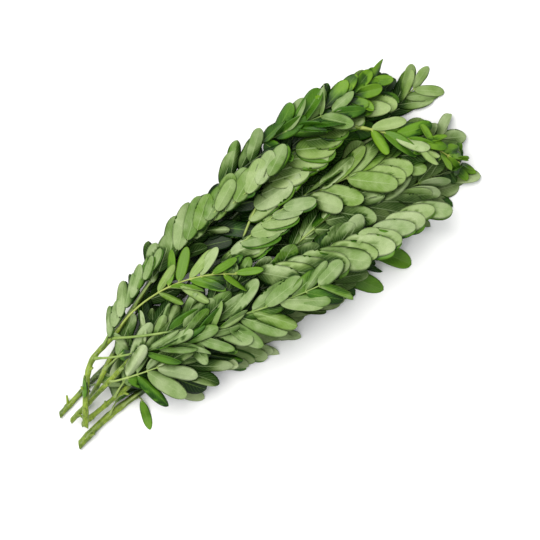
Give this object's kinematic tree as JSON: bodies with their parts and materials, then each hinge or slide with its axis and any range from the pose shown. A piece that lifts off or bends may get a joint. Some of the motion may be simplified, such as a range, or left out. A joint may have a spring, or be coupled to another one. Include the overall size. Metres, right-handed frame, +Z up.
{
  "type": "agathi leaf bunch",
  "caption": "Loose bunch of cut agathi shoots lying down: tapering green stems with long pinnate leaves laid over each other in a low heap.",
  "frame": {"origin": "middle of the bunch's footprint, on the surface that it lies on", "axes": "+X along the bunch from the cut ends to the leaf tips, +Y across it, +Z up from the surface"},
  "size_m": [0.348, 0.134, 0.0513],
  "materials": {
    "stem": "satin fresh green shoot, finely ribbed",
    "leaf_face_up": "semi-matte upper side of fresh leaflets, deep green",
    "leaf_face_down": "matte pale underside of fresh leaflets, grey-green"
  },
  "bodies": {
    "root": {"low_side_stem": "stem", "low_side_leaf_1": "leaf_face_up", "low_side_leaf_2": "leaf_face_down", "low_side_leaf_3": "leaf_face_up", "low_side_leaf_4": "leaf_face_up", "low_side_leaf_5": "leaf_face_up", "low_side_leaf_6": "leaf_face_down", "low_side_leaf_7": "leaf_face_down", "low_side_leaf_8": "leaf_face_down", "low_side_leaf_9": "leaf_face_down", "low_side_leaf_10": "leaf_face_up", "low_side_leaf_11": "leaf_face_down", "low_side_leaf_12": "leaf_face_down", "middle_stem": "stem", "middle_leaf_1": "leaf_face_down", "middle_leaf_2": "leaf_face_up", "middle_leaf_3": "leaf_face_down", "middle_leaf_4": "leaf_face_down", "middle_leaf_5": "leaf_face_down", "middle_leaf_6": "leaf_face_up", "middle_leaf_7": "leaf_face_down", "middle_leaf_8": "leaf_face_down", "middle_leaf_9": "leaf_face_up", "near_side_stem": "stem", "near_side_leaf_1": "leaf_face_up", "near_side_leaf_2": "leaf_face_down", "near_side_leaf_3": "leaf_face_down", "near_side_leaf_4": "leaf_face_down", "near_side_leaf_5": "leaf_face_down", "near_side_leaf_6": "leaf_face_up", "near_side_leaf_7": "leaf_face_up", "near_side_leaf_8": "leaf_face_down", "far_stem": "stem", "far_leaf_1": "leaf_face_up", "far_leaf_2": "leaf_face_up", "far_leaf_3": "leaf_face_up", "far_leaf_4": "leaf_face_down", "far_leaf_5": "leaf_face_down", "heart_stem": "stem", "heart_leaf_1": "leaf_face_down", "heart_leaf_2": "leaf_face_down", "heart_leaf_3": "leaf_face_down", "heart_leaf_4": "leaf_face_down", "heart_leaf_5": "leaf_face_down", "heart_leaf_6": "leaf_face_down", "heart_leaf_7": "leaf_face_down", "far_edge_stem": "stem", "far_edge_leaf_1": "leaf_face_up", "far_edge_leaf_2": "leaf_face_up", "far_edge_leaf_3": "leaf_face_up", "far_edge_leaf_4": "leaf_face_up", "far_edge_leaf_5": "leaf_face_down", "far_edge_leaf_6": "leaf_face_down", "far_edge_leaf_7": "leaf_face_down", "far_edge_leaf_8": "leaf_face_down", "far_edge_leaf_9": "leaf_face_down", "far_edge_leaf_10": "leaf_face_down", "far_edge_leaf_11": "leaf_face_down", "far_edge_leaf_12": "leaf_face_up", "far_edge_leaf_13": "leaf_face_up"}
  },
  "joints": []
}
